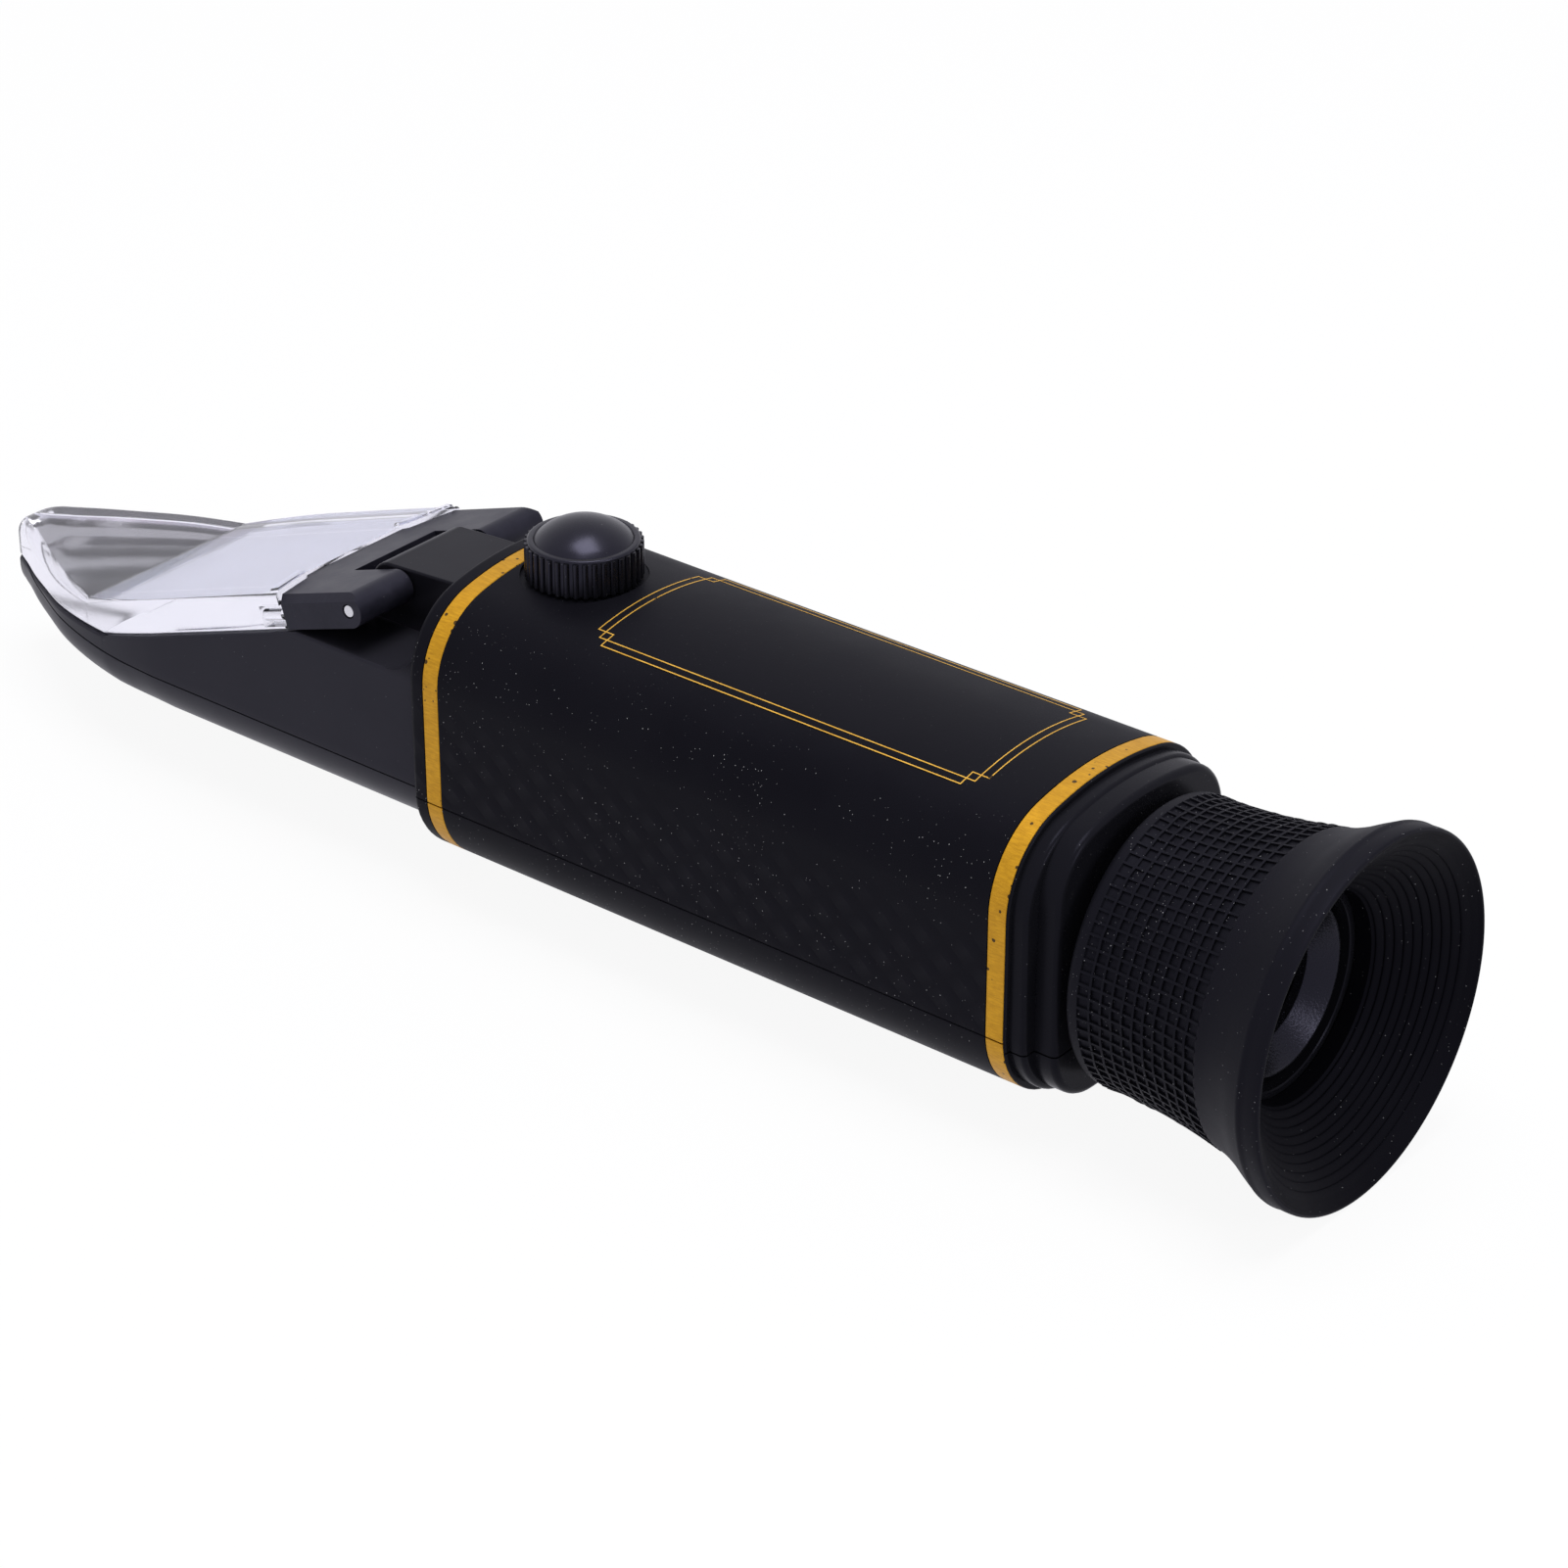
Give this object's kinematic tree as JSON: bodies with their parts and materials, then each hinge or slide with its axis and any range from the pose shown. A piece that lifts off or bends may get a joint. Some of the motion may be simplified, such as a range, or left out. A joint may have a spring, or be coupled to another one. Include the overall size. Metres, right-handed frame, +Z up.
{
  "type": "brix refractometer",
  "caption": "Hand-held brix refractometer: hinged clear daylight plate over a sloping prism, padded grip, capped calibration screw and a turning rubber eyepiece.",
  "frame": {"origin": "under the middle of the length and width, level with the lowest point of the eyecup", "axes": "+X along the optical axis from the sample end to the eye, +Y across, +Z up"},
  "size_m": [0.1578, 0.033, 0.0358],
  "materials": {
    "soft_touch_black": "soft-touch matt with a faint pressed diamond grain",
    "gold_band": "gold foil, slightly brushed and worn",
    "clear_plastic": "polished clear with a frosted pad",
    "optical_glass": "polished",
    "soft_rubber": "matt, moulded mesh",
    "hard_plastic": "satin",
    "steel": "bright turned",
    "brass": "turned",
    "black_metal": "black anodised",
    "bimetal": "rolled"
  },
  "bodies": {
    "housing": {"upper_housing": "soft_touch_black", "lower_housing": "soft_touch_black", "front_stripe_upper": "gold_band", "front_stripe_lower": "gold_band", "rear_stripe_upper": "gold_band", "rear_stripe_lower": "gold_band", "main_prism": "optical_glass", "prism_gasket": "soft_rubber", "prism_seat": "hard_plastic", "prism_retainer": "steel", "hinge_pin": "steel", "calibration_bushing": "brass", "carriage_guide_left": "steel", "carriage_guide_right": "steel", "strip_clamp": "hard_plastic", "light_baffle_front": "hard_plastic", "light_baffle_rear": "hard_plastic", "reticle_holder": "black_metal", "reticle_disc": "optical_glass", "reticle_ring": "black_metal", "eyepiece_socket": "black_metal", "housing_screw_front_right": "steel", "housing_screw_front_left": "steel", "housing_screw_rear_right": "steel", "housing_screw_rear_left": "steel"},
    "daylight_cover": {"daylight_plate": "clear_plastic", "hinge_bracket": "hard_plastic"},
    "cap_washer": {"cap_seal": "soft_rubber"},
    "cap": {"calibration_cap": "hard_plastic"},
    "focus_seal": {"focus_ring_seal": "soft_rubber"},
    "eyepiece": {"eyepiece_barrel": "black_metal", "rubber_eyepiece_grip": "soft_rubber", "eyepiece_cone": "hard_plastic", "eye_lens": "optical_glass", "lens_spacer": "black_metal", "field_lens": "optical_glass"},
    "adjusting_screw": {"calibration_screw": "steel"},
    "objective_carriage": {"lens_carriage": "black_metal", "objective_lens": "optical_glass", "objective_lens_ring": "black_metal", "bimetal_strip": "bimetal"}
  },
  "joints": [
    {"name": "cover_hinge", "type": "hinge", "parent": "housing", "child": "daylight_cover", "pos_m": [-0.02249, 0, 0.02575], "axis": [0, 1, 0], "range_deg": [0, 130]},
    {"name": "cap_lift", "type": "slide", "parent": "housing", "child": "cap_washer", "axis": [0, 0, 1], "range_m": [0, 0.0024]},
    {"name": "cap_turn", "type": "hinge", "parent": "cap_washer", "child": "cap", "pos_m": [-0.00502, 0, 0.0304], "axis": [0, 0, 1], "range_deg": [0, 1081]},
    {"name": "focus_slide", "type": "slide", "parent": "housing", "child": "focus_seal", "axis": [1, 0, 0], "range_m": [-0.0005, 0.0025]},
    {"name": "focus_turn", "type": "hinge", "parent": "focus_seal", "child": "eyepiece", "pos_m": [0.0572, 0, 0.0165], "axis": [1, 0, 0], "range_deg": [-45.5, 225.5]},
    {"name": "calibration_turn", "type": "hinge", "parent": "housing", "child": "adjusting_screw", "pos_m": [-0.00502, 0, 0.0324], "axis": [0, 0, 1], "range_deg": [-361, 361]},
    {"name": "carriage_shift", "type": "slide", "parent": "housing", "child": "objective_carriage", "axis": [0, 0, 1], "range_m": [-0.0005, 0.0005]}
  ],
  "couplings": [
    {"joint": "cap_turn", "follows": "cap_lift", "rad_per_m": 7854},
    {"joint": "focus_turn", "follows": "focus_slide", "rad_per_m": 1570.8},
    {"joint": "calibration_turn", "follows": "carriage_shift", "rad_per_m": -12566}
  ]
}
